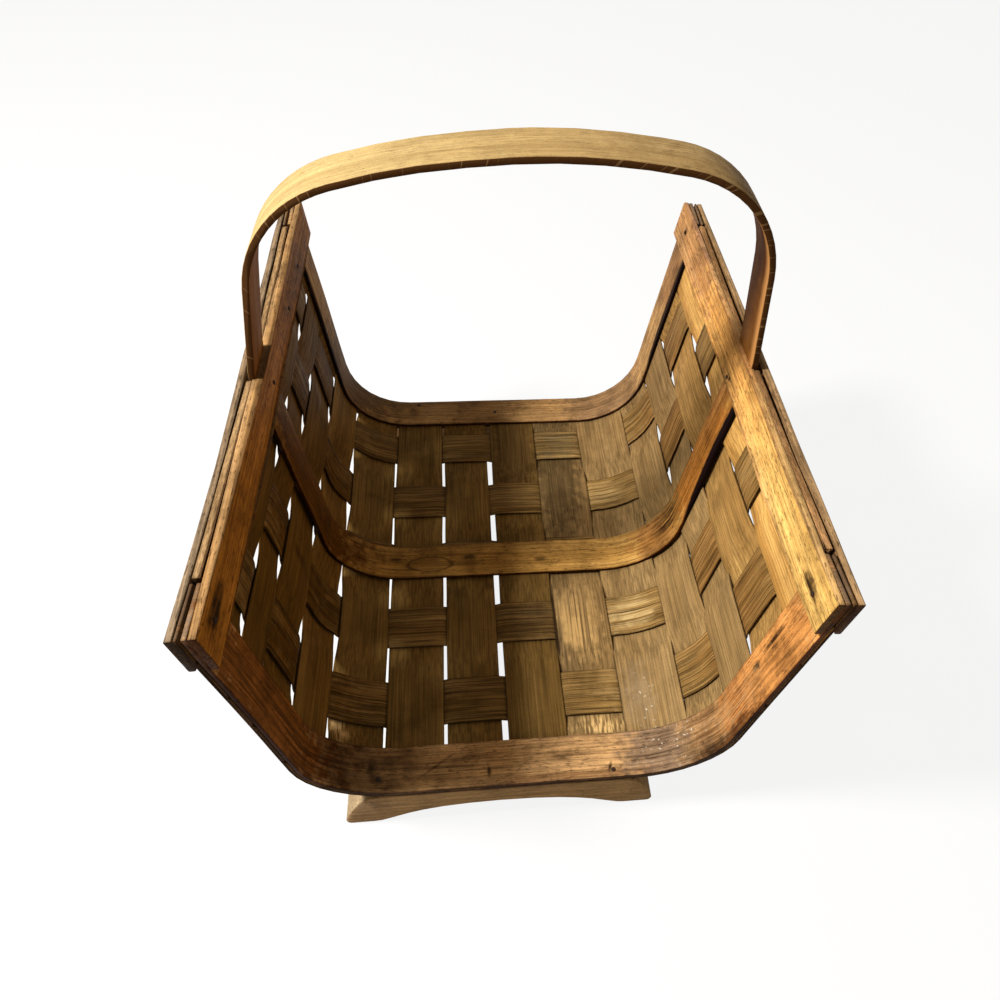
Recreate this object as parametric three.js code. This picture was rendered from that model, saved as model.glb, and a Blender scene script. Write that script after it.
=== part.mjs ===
// Oak splint magazine basket: an open trough of woven oak splints, held in shape by bent hoops,
// clamped along the rim between paired rails, with a bent carrying handle and two arched feet.
// Millimetres. X runs across the basket, Y from the front end to the back end, and Z up.
// The soles of the feet stand on Z 0, and the middle of the basket is over the origin.

import * as THREE from 'three';

// Trough
const basketLength = 343;
const floorHalfWidth = 72;
const bendRadius = 50;
const bendSteps = 8;
const wallLeanDegrees = 6.6;
const rimHeight = 185;

// How far the rim has settled: to the right at each end, outwards at the front, inwards halfway along
const rimLeanFront = 1;
const rimLeanRear = 4;
const rimSpreadFront = 2;
const rimDrawIn = 2.6;

// Gap left between pieces that are nailed or clamped together
const seatGap = 0.3;

// Hoops
const hoopWidth = 28.5;
const innerHoopThickness = 2.4;
const outerHoopThickness = 1.5;
const middleHoopShift = -1.5;

// Weave
const splintThickness = 0.9;
const weaveLift = 1.05;
const lengthSplintCount = 14;
const weaveShift = -6;
const slitWidths = [2.4, 2.6, 2.4, 2.4, 1.3, 2.1, 4, 0.5, 0.4, 0.4, 2.4, 2.4, 2.6];
const slitShifts = [0, -8, 0, 3.4, 0.5, 0, -0.5, 0, 0, 0, -3.5, 3, 8.5];
const slitCrossing = 4;

// Share of a slit's width that is open, at even steps from the rear end to the front end. The three
// highest slits of the right wall close up where their splints have crowded together
const openAllAlong = [1, 1];
const crowdedSlits = new Map([
  [10, [1, 1, 0.6, 0.1, 0.1]],
  [11, [0.3, 0.9, 0.1, 0.1, 1]],
  [12, [0.2, 1, 1, 0.15, 0.15]],
]);
const rimSplintTuck = 6;
const crossSplintCount = 5;
const crossSplintWidth = 31.5;
const crossSplintShift = 2;
const crossSplintMargin = 1;

// Rim
const railHeight = 25;
const innerRailThickness = 3.8;
const outerRailThickness = 3.4;
const railEdgeRadius = 0.9;
const railSteps = 8;
const fillerDepth = 15;
const fillerThickness = 5;
const fillerEdgeRadius = 0.6;
const fillerSteps = 3;
const fillerEndGap = 2.5;

// Carrying handle
const handleWidth = 28;
const handleThickness = 3.6;
const handleRise = 121;
const handleHalfWidth = 135;
const handleShoulderRadius = 66;
const handleCrownRadius = 390;
const handleCrownShift = -2.3;
const handleTiltDegrees = 2.6;
const handleHeelRun = 11;
const handleShift = 2;

// Feet
const footLength = 197;
const footHeight = 41;
const footDepth = 19;
const footShift = -10.7;
const footShoulderRun = 23;
const footToeRadius = 4;
const footPadLength = 14;
const footArchRise = 20.5;
const footEdgeBevel = 0.8;

// Worked out from the sizes above
const bendAngle = THREE.MathUtils.degToRad(90 - wallLeanDegrees);
const wallDirection = new THREE.Vector2(Math.cos(bendAngle), Math.sin(bendAngle));
const bendRise = bendRadius * (1 - Math.cos(bendAngle));
const wallLength = (rimHeight - bendRise) / Math.sin(bendAngle);
const rimGirth = floorHalfWidth + bendRadius * bendAngle + wallLength;
const slotFloorGirth = rimGirth - fillerDepth;
const woodUnderSlotGirth = slotFloorGirth - seatGap;
const railFootGirth = rimGirth - railHeight;
const splintSeat = innerHoopThickness + seatGap + splintThickness / 2;
const weaveMiddle = splintSeat + weaveLift;
const outerHoopFront = splintSeat + splintThickness / 2 + seatGap;
const outerHoopBack = outerHoopFront + outerHoopThickness;
const weaveBack = weaveMiddle + weaveLift + splintThickness / 2;
const slotBack = Math.max(outerHoopBack, weaveBack) + seatGap;
const slotMiddle = (slotBack - seatGap) / 2;
const frontEnd = -basketLength / 2;
const rearEnd = basketLength / 2;
const floorLevel = footHeight + seatGap + outerHoopBack;

const woods = {
  splint: new THREE.MeshStandardMaterial({ color: 0x6b5330, roughness: 0.75, metalness: 0 }),
  hoop: new THREE.MeshStandardMaterial({ color: 0x744a22, roughness: 0.6, metalness: 0 }),
  rail: new THREE.MeshStandardMaterial({ color: 0xa06a2e, roughness: 0.55, metalness: 0 }),
  filler: new THREE.MeshStandardMaterial({ color: 0x84705a, roughness: 0.85, metalness: 0 }),
  handle: new THREE.MeshStandardMaterial({ color: 0xb98f52, roughness: 0.6, metalness: 0 }),
  foot: new THREE.MeshStandardMaterial({ color: 0x8d7048, roughness: 0.8, metalness: 0 }),
};

// Half of the trough's profile, as its corner points from the middle of the floor to the rim.
// Girth is the distance along the inner face of the inner hoops from the middle of the floor.
function makeProfile() {
  const corners = [{ girth: 0, point: new THREE.Vector2(0, 0) }];
  for (let step = 0; step <= bendSteps; step += 1) {
    const turn = bendAngle * step / bendSteps;
    const x = floorHalfWidth + bendRadius * Math.sin(turn);
    const z = bendRadius * (1 - Math.cos(turn));
    corners.push({ girth: floorHalfWidth + bendRadius * turn, point: new THREE.Vector2(x, z) });
  }
  const bendEnd = corners[corners.length - 1].point;
  const rimPoint = bendEnd.clone().addScaledVector(wallDirection, wallLength);
  corners.push({ girth: rimGirth, point: rimPoint });

  // An outer layer leaves each corner along the mitre of the two faces that meet there
  const runs = corners.slice(1).map((corner, index) => corner.point.clone().sub(corners[index].point));
  const headings = runs.map((run) => run.angle());
  corners.forEach((corner, index) => {
    const before = headings[Math.max(index - 1, 0)];
    const after = headings[Math.min(index, headings.length - 1)];
    const middle = (before + after) / 2;
    const reach = 1 / Math.cos((after - before) / 2);
    corner.mitre = new THREE.Vector2(Math.sin(middle), -Math.cos(middle)).multiplyScalar(reach);
  });
  return corners;
}
const profile = makeProfile();

// Point of the cross section at a girth, negative on the left, and a depth outwards from the inner
// face of the hoops
function layerPoint(girth, depth) {
  const distance = Math.abs(girth);
  let next = 1;
  while (next < profile.length - 1 && profile[next].girth < distance) next += 1;
  const from = profile[next - 1];
  const to = profile[next];
  const share = (distance - from.girth) / (to.girth - from.girth);
  const start = from.point.clone().addScaledVector(from.mitre, depth);
  const end = to.point.clone().addScaledVector(to.mitre, depth);
  const place = start.lerp(end, share);
  return girth < 0 ? place.setX(-place.x) : place;
}

// Girths between two limits at which a layer turns a corner, with the limits and any further stations
function girthStations(fromGirth, toGirth, further = []) {
  const corners = profile.slice(1, -1).flatMap((corner) => [-corner.girth, corner.girth]);
  const inside = [...corners, ...further].filter((girth) => girth > fromGirth && girth < toGirth);
  return [fromGirth, ...inside, toGirth].sort((a, b) => a - b);
}

// Solid with an outline in X and Z, from one end in Y to the other
function extrudeAlong(shape, fromY, toY, options = {}) {
  const settings = { depth: toY - fromY, bevelEnabled: false, curveSegments: 3, ...options };
  const geometry = new THREE.ExtrudeGeometry(shape, settings);
  geometry.rotateX(Math.PI / 2);
  geometry.translate(0, toY, 0);
  return geometry;
}

function addPiece(group, name, geometry, material) {
  const mesh = new THREE.Mesh(geometry, material);
  mesh.name = name;
  group.add(mesh);
}

// Smooth rise from 0 to 1
function easeShare(share) {
  return share * share * (3 - 2 * share);
}

// Bent band of even thickness round the whole trough, between two depths
function hoopShape(innerDepth, outerDepth, endGirth) {
  const stations = girthStations(-endGirth, endGirth);
  const innerFace = stations.map((girth) => layerPoint(girth, innerDepth));
  const outerFace = stations.map((girth) => layerPoint(girth, outerDepth));
  return new THREE.Shape([...innerFace, ...outerFace.reverse()]);
}

function addHoops(group) {
  const innerHoop = hoopShape(0, innerHoopThickness, rimGirth);
  const outerHoop = hoopShape(outerHoopFront, outerHoopBack, rimGirth);
  const middleHoop = hoopShape(0, innerHoopThickness, woodUnderSlotGirth);
  const front = [frontEnd, frontEnd + hoopWidth];
  const middle = [middleHoopShift - hoopWidth / 2, middleHoopShift + hoopWidth / 2];
  const rear = [rearEnd - hoopWidth, rearEnd];
  addPiece(group, 'front_inner_hoop', extrudeAlong(innerHoop, ...front), woods.hoop);
  addPiece(group, 'front_outer_hoop', extrudeAlong(outerHoop, ...front), woods.hoop);
  addPiece(group, 'middle_hoop', extrudeAlong(middleHoop, ...middle), woods.hoop);
  addPiece(group, 'rear_inner_hoop', extrudeAlong(innerHoop, ...rear), woods.hoop);
  addPiece(group, 'rear_outer_hoop', extrudeAlong(outerHoop, ...rear), woods.hoop);
}

// Columns of the weave are the lengthwise splints, counted from the left wall to the right wall
const rimSplintGirth = railFootGirth + rimSplintTuck;
const lengthSplintPitch = 2 * rimSplintGirth / lengthSplintCount;
const slits = [];
for (let index = 0; index < lengthSplintCount - 1; index += 1) {
  const evenGirth = weaveShift + (index + 1 - lengthSplintCount / 2) * lengthSplintPitch;
  const place = index % slitWidths.length;
  const width = slitWidths[place];
  const openShares = crowdedSlits.get(place) ?? openAllAlong;
  slits.push({ girth: evenGirth + slitShifts[place], width, openShares });
}
const columns = [];
for (let index = 0; index < lengthSplintCount; index += 1) {
  const left = slits[index - 1];
  const right = slits[index];
  columns.push({
    index,
    fromGirth: left ? left.girth + left.width / 2 : -rimSplintGirth,
    toGirth: right ? right.girth - right.width / 2 : rimSplintGirth,
    left,
    right,
  });
}

// Rows of the weave are the cross splints, which share the space between the end hoops
const crossSplintPitch = (basketLength - 2 * hoopWidth) / crossSplintCount;
const rows = [];
for (let index = 0; index < crossSplintCount; index += 1) {
  const middle = crossSplintShift + (index - (crossSplintCount - 1) / 2) * crossSplintPitch;
  rows.push({ index, middle });
}

// Depth of a cross splint's middle where it passes a column: inside every other lengthwise splint
function crossingDepth(row, columnIndex) {
  const passesInside = (row.index + columnIndex) % 2 === 0;
  return passesInside ? weaveMiddle - weaveLift : weaveMiddle + weaveLift;
}

// A cross splint changes sides at each slit, on an eased slope a little wider than the slit
function crossSplintShape(row) {
  const changes = slits.flatMap((slit) => {
    const half = slit.width / 2 + slitCrossing;
    return [-1, -1 / 3, 1 / 3, 1].map((place) => slit.girth + place * half);
  });
  const stations = girthStations(-woodUnderSlotGirth, woodUnderSlotGirth, changes);
  const depthAt = (girth) => {
    const near = slits.findIndex((slit) => Math.abs(girth - slit.girth) <= slit.width / 2 + slitCrossing);
    if (near < 0) return crossingDepth(row, slits.filter((slit) => slit.girth < girth).length);
    const share = (girth - slits[near].girth) / (slits[near].width + 2 * slitCrossing) + 0.5;
    return THREE.MathUtils.lerp(crossingDepth(row, near), crossingDepth(row, near + 1), easeShare(share));
  };
  const half = splintThickness / 2;
  const innerFace = stations.map((girth) => layerPoint(girth, depthAt(girth) - half));
  const outerFace = stations.map((girth) => layerPoint(girth, depthAt(girth) + half));
  return new THREE.Shape([...innerFace, ...outerFace.reverse()]);
}

function addCrossSplints(group) {
  rows.forEach((row, index) => {
    const front = row.middle - crossSplintWidth / 2;
    const geometry = extrudeAlong(crossSplintShape(row), front, front + crossSplintWidth);
    addPiece(group, `cross_splint_${index + 1}`, geometry, woods.splint);
  });
}

// Side view of a lengthwise splint, along Y and inwards: it lies level between the end hoops and
// level on each cross splint, and swings from one side of the weave to the other between them
function lengthSplintOutline(column) {
  const halfRow = crossSplintWidth / 2 + crossSplintMargin;
  const levels = [{ from: frontEnd, to: frontEnd + hoopWidth + crossSplintMargin, depth: splintSeat }];
  rows.forEach((row) => {
    const depth = 2 * weaveMiddle - crossingDepth(row, column.index);
    levels.push({ from: row.middle - halfRow, to: row.middle + halfRow, depth });
  });
  levels.push({ from: rearEnd - hoopWidth - crossSplintMargin, to: rearEnd, depth: splintSeat });

  const line = [new THREE.Vector2(frontEnd, -splintSeat)];
  levels.slice(1).forEach((level, index) => {
    const before = levels[index];
    if (Math.abs(before.depth - level.depth) < splintThickness / 2) return;
    [0, 1 / 3, 2 / 3, 1].forEach((share) => {
      const y = THREE.MathUtils.lerp(before.to, level.from, share);
      const depth = THREE.MathUtils.lerp(before.depth, level.depth, easeShare(share));
      line.push(new THREE.Vector2(y, -depth));
    });
  });
  line.push(new THREE.Vector2(rearEnd, -splintSeat));
  const half = splintThickness / 2;
  const underFace = line.map((point) => new THREE.Vector2(point.x, point.y - half));
  const upperFace = line.map((point) => new THREE.Vector2(point.x, point.y + half));
  return new THREE.Shape([...underFace, ...upperFace.reverse()]);
}

// How much wider than usual a splint is at a slit that has closed up there
function slitGrowth(slit, y) {
  if (!slit) return 0;
  const steps = slit.openShares.length - 1;
  const along = steps * (rearEnd - y) / basketLength;
  const before = THREE.MathUtils.clamp(Math.floor(along), 0, steps - 1);
  const share = THREE.MathUtils.lerp(slit.openShares[before], slit.openShares[before + 1], along - before);
  return slit.width * (1 - share) / 2;
}

// The side view is drawn out across the splint's width and then bent to the trough's profile
function lengthSplintGeometry(column) {
  const stations = girthStations(column.fromGirth, column.toGirth);
  const spans = stations.length - 1;
  const settings = { depth: spans, steps: spans, bevelEnabled: false };
  const geometry = new THREE.ExtrudeGeometry(lengthSplintOutline(column), settings);
  const position = geometry.getAttribute('position');
  for (let index = 0; index < position.count; index += 1) {
    const station = Math.round(position.getZ(index));
    const y = position.getX(index);
    let girth = stations[station];
    if (station === 0) girth -= slitGrowth(column.left, y);
    if (station === spans) girth += slitGrowth(column.right, y);
    const place = layerPoint(girth, -position.getY(index));
    position.setXYZ(index, place.x, y, place.y);
  }
  return geometry;
}

function addLengthSplints(group) {
  columns.forEach((column, index) => {
    const number = String(index + 1).padStart(2, '0');
    addPiece(group, `length_splint_${number}`, lengthSplintGeometry(column), woods.splint);
  });
}

// Straight strip of the rim between two girths and two depths, with eased edges; side is -1 or 1
function stripShape(side, lowGirth, highGirth, innerDepth, outerDepth, edgeRadius) {
  const corners = [
    layerPoint(side * lowGirth, innerDepth),
    layerPoint(side * highGirth, innerDepth),
    layerPoint(side * highGirth, outerDepth),
    layerPoint(side * lowGirth, outerDepth),
  ];
  const shape = new THREE.Shape();
  corners.forEach((corner, index) => {
    const before = corners[(index + corners.length - 1) % corners.length];
    const after = corners[(index + 1) % corners.length];
    const arrive = corner.clone().addScaledVector(before.clone().sub(corner).normalize(), edgeRadius);
    const leave = corner.clone().addScaledVector(after.clone().sub(corner).normalize(), edgeRadius);
    if (index === 0) {
      shape.moveTo(arrive.x, arrive.y);
    } else {
      shape.lineTo(arrive.x, arrive.y);
    }
    shape.quadraticCurveTo(corner.x, corner.y, leave.x, leave.y);
  });
  shape.closePath();
  return shape;
}

function addRim(group) {
  const innerBack = -seatGap;
  const innerFront = innerBack - innerRailThickness;
  const outerBack = slotBack + outerRailThickness;
  const fillerFront = slotMiddle - fillerThickness / 2;
  const fillerBack = slotMiddle + fillerThickness / 2;
  const handleFront = handleShift - handleWidth / 2;
  const handleRear = handleShift + handleWidth / 2;
  const frontFiller = [frontEnd + hoopWidth + fillerEndGap, handleFront - seatGap];
  const rearFiller = [handleRear + seatGap, rearEnd - hoopWidth - fillerEndGap];
  [['left', -1], ['right', 1]].forEach(([name, side]) => {
    const innerRail = stripShape(side, railFootGirth, rimGirth, innerFront, innerBack, railEdgeRadius);
    const outerRail = stripShape(side, railFootGirth, rimGirth, slotBack, outerBack, railEdgeRadius);
    const filler = stripShape(side, slotFloorGirth, rimGirth, fillerFront, fillerBack, fillerEdgeRadius);
    const full = [frontEnd, rearEnd, { steps: railSteps }];
    const bent = { steps: fillerSteps };
    addPiece(group, `${name}_inner_rail`, extrudeAlong(innerRail, ...full), woods.rail);
    addPiece(group, `${name}_outer_rail`, extrudeAlong(outerRail, ...full), woods.rail);
    addPiece(group, `${name}_front_filler`, extrudeAlong(filler, ...frontFiller, bent), woods.filler);
    addPiece(group, `${name}_rear_filler`, extrudeAlong(filler, ...rearFiller, bent), woods.filler);
  });
}

// Point where a line through one point meets a line through another
function meetLines(pointA, directionA, pointB, directionB) {
  const between = pointB.clone().sub(pointA);
  const distance = between.cross(directionB) / directionA.cross(directionB);
  return pointA.clone().addScaledVector(directionA, distance);
}

// Half of a line that runs along the handle, a set distance inside its outer face: up out of the rim
// slot, a soft heel, a leg that leans in, a round shoulder and half of the crown. Side is -1 or 1,
// and the line of the left side is given as its mirror image
function handleLine(inset, side) {
  const slotDepth = slotMiddle + handleThickness / 2;
  const crownTop = new THREE.Vector2(side * handleCrownShift, rimHeight + handleRise);
  const tilt = side * THREE.MathUtils.degToRad(handleTiltDegrees);
  const shoulderX = handleHalfWidth - handleShoulderRadius;
  const centreDistance = handleCrownRadius - handleShoulderRadius;
  const crownTurn = Math.asin(shoulderX / centreDistance);
  const shoulderDrop = handleCrownRadius - centreDistance * Math.cos(crownTurn);
  const fromTop = (x, drop) => new THREE.Vector2(x, -drop).add(crownTop).rotateAround(crownTop, tilt);
  const crownCentre = fromTop(0, handleCrownRadius);
  const shoulderCentre = fromTop(shoulderX, shoulderDrop);

  const rimPoint = layerPoint(rimGirth, slotDepth);
  const toCentre = shoulderCentre.clone().sub(rimPoint);
  const legHeading = toCentre.angle() - Math.asin(handleShoulderRadius / toCentre.length());
  const legDirection = new THREE.Vector2(Math.cos(legHeading), Math.sin(legHeading));
  const legInwards = new THREE.Vector2(-legDirection.y, legDirection.x);
  const legPoint = rimPoint.clone().addScaledVector(legInwards, inset);

  const slotEnd = layerPoint(slotFloorGirth, slotDepth - inset);
  const heel = meetLines(slotEnd, wallDirection, legPoint, legDirection);
  const heelStart = heel.clone().addScaledVector(wallDirection, -handleHeelRun);
  const heelEnd = heel.clone().addScaledVector(legDirection, handleHeelRun);
  const heelBend = new THREE.QuadraticBezierCurve(heelStart, heel, heelEnd);

  const arc = (centre, radius, fromTurn, toTurn) =>
    new THREE.EllipseCurve(centre.x, centre.y, radius - inset, radius - inset, fromTurn, toTurn);
  const middleTurn = Math.PI / 2 + tilt;
  const shoulderEnd = middleTurn - crownTurn;
  const shoulder = arc(shoulderCentre, handleShoulderRadius, legHeading - Math.PI / 2, shoulderEnd);
  const crown = arc(crownCentre, handleCrownRadius, shoulderEnd, middleTurn);
  return [slotEnd, ...heelBend.getPoints(4), ...shoulder.getPoints(12), ...crown.getPoints(8).slice(1)];
}

function addHandle(group) {
  const mirrored = (line) => line.map((point) => new THREE.Vector2(-point.x, point.y));
  const rightOuter = handleLine(0, 1);
  const rightInner = handleLine(handleThickness, 1);
  const leftOuter = mirrored(handleLine(0, -1));
  const leftInner = mirrored(handleLine(handleThickness, -1));
  const shape = new THREE.Shape([
    ...rightOuter,
    ...leftOuter.reverse().slice(1),
    ...leftInner,
    ...rightInner.reverse().slice(1),
  ]);
  const front = handleShift - handleWidth / 2;
  addPiece(group, 'carrying_handle', extrudeAlong(shape, front, front + handleWidth), woods.handle);
}

// Front view of a foot: flat top, long sloping shoulders, toes that stand on two pads, and an arch
// that rises softly between them
function footShape() {
  const end = footLength / 2;
  const shoulder = end - footShoulderRun;
  const shoulderSlope = end - footShoulderRun / 2;
  const padStart = end - footToeRadius;
  const archEnd = padStart - footPadLength;
  const archFoot = archEnd * 0.84;
  const archCrown = archEnd * 0.75;
  const shape = new THREE.Shape();
  shape.moveTo(-padStart, 0);
  shape.lineTo(-archEnd, 0);
  shape.bezierCurveTo(-archFoot, 0, -archCrown, footArchRise, 0, footArchRise);
  shape.bezierCurveTo(archCrown, footArchRise, archFoot, 0, archEnd, 0);
  shape.lineTo(padStart, 0);
  shape.quadraticCurveTo(end, 0, end, footToeRadius);
  shape.quadraticCurveTo(shoulderSlope, footHeight, shoulder, footHeight);
  shape.lineTo(-shoulder, footHeight);
  shape.quadraticCurveTo(-shoulderSlope, footHeight, -end, footToeRadius);
  shape.quadraticCurveTo(-end, 0, -padStart, 0);
  return shape;
}

function addFeet(group) {
  const bevel = {
    bevelEnabled: true,
    bevelSize: footEdgeBevel,
    bevelOffset: -footEdgeBevel,
    bevelThickness: footEdgeBevel,
    bevelSegments: 1,
    curveSegments: 8,
  };
  const places = [['front_foot', frontEnd], ['rear_foot', rearEnd - footDepth]];
  places.forEach(([name, front]) => {
    const rear = front + footDepth;
    const geometry = extrudeAlong(footShape(), front + footEdgeBevel, rear - footEdgeBevel, bevel);
    geometry.translate(footShift, 0, 0);
    addPiece(group, name, geometry, woods.foot);
  });
}

// The rim of the old basket leans to the right, spreads a little at the front and draws in halfway
// along. All of this grows with the height above the floor of the hoops
function settle(geometry) {
  const rimHalfWidth = layerPoint(rimGirth, 0).x;
  const position = geometry.getAttribute('position');
  for (let index = 0; index < position.count; index += 1) {
    const x = position.getX(index);
    const along = position.getY(index) / basketLength + 0.5;
    const lean = THREE.MathUtils.lerp(rimLeanFront, rimLeanRear, along);
    const spread = rimSpreadFront * (1 - along) - rimDrawIn * 4 * along * (1 - along);
    const height = position.getZ(index) / rimHeight;
    position.setX(index, x + (lean + spread * x / rimHalfWidth) * height);
  }
  geometry.computeVertexNormals();
}

const basket = new THREE.Group();
const trough = new THREE.Group();
trough.position.z = floorLevel;
basket.add(trough);
addLengthSplints(trough);
addCrossSplints(trough);
addHoops(trough);
addRim(trough);
addHandle(trough);
trough.children.forEach((piece) => settle(piece.geometry));
addFeet(basket);

// The whole width, rim and all, is centred over the origin
const reach = new THREE.Box3().setFromObject(basket);
basket.position.x = -(reach.min.x + reach.max.x) / 2;

export default basket;
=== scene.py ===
import math

import bmesh
import bpy
from mathutils import Matrix, Vector
from mathutils.bvhtree import BVHTree
from mathutils.noise import noise as waver


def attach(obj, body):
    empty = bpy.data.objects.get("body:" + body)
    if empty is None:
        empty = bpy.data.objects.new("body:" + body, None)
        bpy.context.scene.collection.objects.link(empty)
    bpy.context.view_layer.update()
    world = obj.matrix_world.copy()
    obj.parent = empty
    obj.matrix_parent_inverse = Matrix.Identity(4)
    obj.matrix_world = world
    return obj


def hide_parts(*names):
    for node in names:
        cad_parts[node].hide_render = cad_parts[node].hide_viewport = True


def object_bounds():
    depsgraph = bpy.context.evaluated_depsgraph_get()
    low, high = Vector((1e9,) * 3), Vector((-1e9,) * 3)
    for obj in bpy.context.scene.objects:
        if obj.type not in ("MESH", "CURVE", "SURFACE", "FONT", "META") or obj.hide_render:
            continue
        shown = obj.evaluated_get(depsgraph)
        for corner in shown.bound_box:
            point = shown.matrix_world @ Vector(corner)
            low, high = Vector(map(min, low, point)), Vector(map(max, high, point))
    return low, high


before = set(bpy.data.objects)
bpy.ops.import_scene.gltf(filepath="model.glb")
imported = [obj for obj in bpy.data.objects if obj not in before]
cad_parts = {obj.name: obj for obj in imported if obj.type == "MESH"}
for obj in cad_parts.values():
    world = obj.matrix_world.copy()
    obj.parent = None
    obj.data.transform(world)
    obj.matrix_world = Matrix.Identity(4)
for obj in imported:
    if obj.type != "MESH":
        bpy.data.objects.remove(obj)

cad_low, cad_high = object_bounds()


# Lengthwise splints: fourteen thin oak strips, rived along the grain and shaved flat.
# They run the whole length of the basket, over and under the cross splints, and their
# ends are clamped between the inner and the outer hoops.

MM = 0.001
X_AXIS, Y_AXIS, Z_AXIS = range(3)
WAVER_LENGTH = 48 * MM
WAVER_SIDEWAYS = 0.55 * MM
WAVER_UPWARDS = 0.45 * MM
UPWARDS_SHIFT = Vector((31, 17, 53))
FREE_HEIGHT = 60 * MM
BEND_MIDDLE_X = 73 * MM
BEND_MIDDLE_Z = 97 * MM
WALL_SLOPE = math.radians(83)
LEAST_LEAN = 0.15
CROWDING_RAMP = 20 * MM
ONE_POINT = 0.01 * MM
FLAT_ANGLE = math.radians(2)
CORNER_ANGLE = math.radians(50)
SHARP_ANGLE = math.radians(38)


def hand_made(place):
    """A point moved by the waver of hand work, which neighbours share, inside the CAD box."""
    spot = place / WAVER_LENGTH
    sideways = WAVER_SIDEWAYS * waver(spot)
    upwards = WAVER_UPWARDS * waver(spot + UPWARDS_SHIFT)
    upwards *= min(1.0, place.z / FREE_HEIGHT)
    moved = place + Vector((sideways, 0, upwards))
    for axis in range(3):
        moved[axis] = min(max(moved[axis], cad_low[axis]), cad_high[axis])
    return moved


def crowded(place, normal, below, above):
    """A point of a splint's edge on the floor or the right wall, moved towards its neighbour."""
    turn = math.atan2(place.x - BEND_MIDDLE_X, BEND_MIDDLE_Z - place.z)
    turn = min(max(turn, 0.0), WALL_SLOPE)
    sideways = Vector((math.cos(turn), 0, math.sin(turn)))
    lean = normal.dot(sideways)
    if abs(lean) < LEAST_LEAN:
        return place
    return place + sideways * (above if lean > 0 else -below)


def finished_mesh(work, name):
    """A mesh made from a work mesh, which is then freed."""
    mesh = bpy.data.meshes.new(name)
    work.to_mesh(mesh)
    work.free()
    return mesh


def add_object(name, data):
    """An object linked into the scene."""
    thing = bpy.data.objects.new(name, data)
    bpy.context.scene.collection.objects.link(thing)
    return thing


def shaved_copy(node, name, edge, slices, crowd=None):
    """A piece with the shape of a CAD node, its corners eased and its faces a little uneven."""
    work = bmesh.new()
    work.from_mesh(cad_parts[node].data)
    bmesh.ops.remove_doubles(work, verts=work.verts, dist=ONE_POINT)
    bmesh.ops.dissolve_limit(work, angle_limit=FLAT_ANGLE, verts=work.verts, edges=work.edges)
    corners = [e for e in work.edges if e.is_manifold and e.calc_face_angle() > CORNER_ANGLE]
    bmesh.ops.bevel(
        work,
        geom=corners,
        offset=edge,
        segments=2,
        profile=0.5,
        affect="EDGES",
        material=-1,
        clamp_overlap=True,
    )
    for axis, start, end, step in slices:
        place = start + step
        while place < end:
            point = Vector((0, 0, 0))
            point[axis] = place
            across = Vector((0, 0, 0))
            across[axis] = 1
            everything = work.verts[:] + work.edges[:] + work.faces[:]
            bmesh.ops.bisect_plane(work, geom=everything, plane_co=point, plane_no=across)
            place += step
    work.normal_update()
    if crowd:
        below, above, start, end = crowd
        for vert in work.verts:
            ramp = min(vert.co.y - start, end - vert.co.y) / CROWDING_RAMP
            ramp = min(max(ramp, 0.0), 1.0)
            vert.co = crowded(vert.co, vert.normal, below * ramp, above * ramp)
    for vert in work.verts:
        vert.co = hand_made(vert.co)
    for face in work.faces:
        face.smooth = True
    mesh = finished_mesh(work, name)
    mesh.set_sharp_from_angle(angle=SHARP_ANGLE)
    piece = add_object(name, mesh)
    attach(piece, "root")
    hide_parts(node)
    return piece


def add_node(tree, kind, sockets=None, **options):
    """A shader node with its options set and its sockets set or fed."""
    node = tree.nodes.new(kind)
    for option, value in options.items():
        setattr(node, option, value)
    for socket, value in (sockets or {}).items():
        if isinstance(value, bpy.types.NodeSocket):
            tree.links.new(value, node.inputs[socket])
        else:
            node.inputs[socket].default_value = value
    return node


def noise(tree, place, scale, detail, rough, distortion=0.0):
    """A value that wanders from place to place."""
    sockets = {"Vector": place, "Scale": scale, "Detail": detail, "Roughness": rough}
    sockets["Distortion"] = distortion
    return add_node(tree, "ShaderNodeTexNoise", sockets).outputs[0]


def remap(tree, value, low, high, to_low, to_high):
    """A value read between two limits and given as a value between two others."""
    sockets = {0: value, 1: low, 2: high, 3: to_low, 4: to_high}
    return add_node(tree, "ShaderNodeMapRange", sockets, clamp=True).outputs[0]


def tint(tree, how, amount, first, second):
    """Two colours mixed in a named way."""
    sockets = {0: amount, 6: first, 7: second}
    mix = add_node(tree, "ShaderNodeMix", sockets, data_type="RGBA", blend_type=how)
    return mix.outputs[2]


def combine(tree, how, first, second):
    """Two numbers put together by a sum, a product or the like."""
    return add_node(tree, "ShaderNodeMath", {0: first, 1: second}, operation=how).outputs[0]


def combine_vectors(tree, how, first, second=(0.0, 0.0, 0.0), scale=1.0):
    """Two vectors put together, as a vector and as a number."""
    sockets = {0: first, 1: second, 3: scale}
    return add_node(tree, "ShaderNodeVectorMath", sockets, operation=how).outputs


def tone_ramp(tree, value, stops):
    """The colours of a few stops, blended between them."""
    ramp = add_node(tree, "ShaderNodeValToRGB", {0: value})
    elements = ramp.color_ramp.elements
    first, *between, last = stops
    elements[0].position, elements[0].color = first
    elements[1].position, elements[1].color = last
    for position, colour in between:
        elements.new(position).color = colour
    return ramp.outputs[0]


def rgb(red, green, blue):
    """A full colour."""
    return (red, green, blue, 1.0)


def shade_of(colour, level):
    """A colour made darker or lighter."""
    return rgb(colour[0] * level, colour[1] * level, colour[2] * level)


def mark(kind, at, size, colour, strength, **more):
    """A stain, ring, streaks or specks, with the middle and half sizes in millimetres."""
    spot = {"kind": kind, "at": at, "size": size, "colour": colour, "strength": strength}
    return {**spot, **more}


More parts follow.
